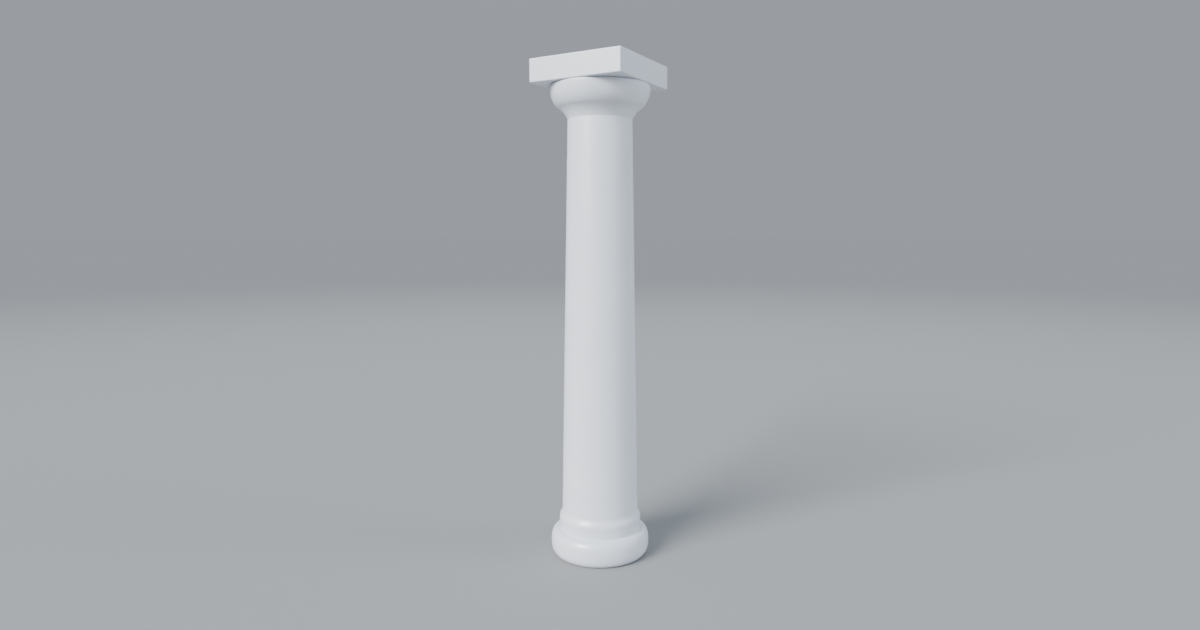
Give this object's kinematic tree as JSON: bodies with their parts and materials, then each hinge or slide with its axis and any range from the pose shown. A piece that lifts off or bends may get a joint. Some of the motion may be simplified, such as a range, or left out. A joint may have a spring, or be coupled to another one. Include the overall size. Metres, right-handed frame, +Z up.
{
  "type": "tuscan column",
  "caption": "Plain round tapered stone column on a cushion-shaped torus base, with a rounded echinus and a square abacus slab on top.",
  "frame": {"origin": "centre of the base's underside, on the ground", "axes": "+Z up the column's axis; +X and +Y square to two sides of the abacus slab"},
  "size_m": [0.4964, 0.4964, 2.44],
  "materials": {
    "base_stone": "smooth satin white",
    "shaft_stone": "smooth satin white",
    "capital_stone": "smooth satin white"
  },
  "bodies": {
    "root": {"base": "base_stone", "shaft": "shaft_stone", "capital": "capital_stone"}
  },
  "joints": []
}
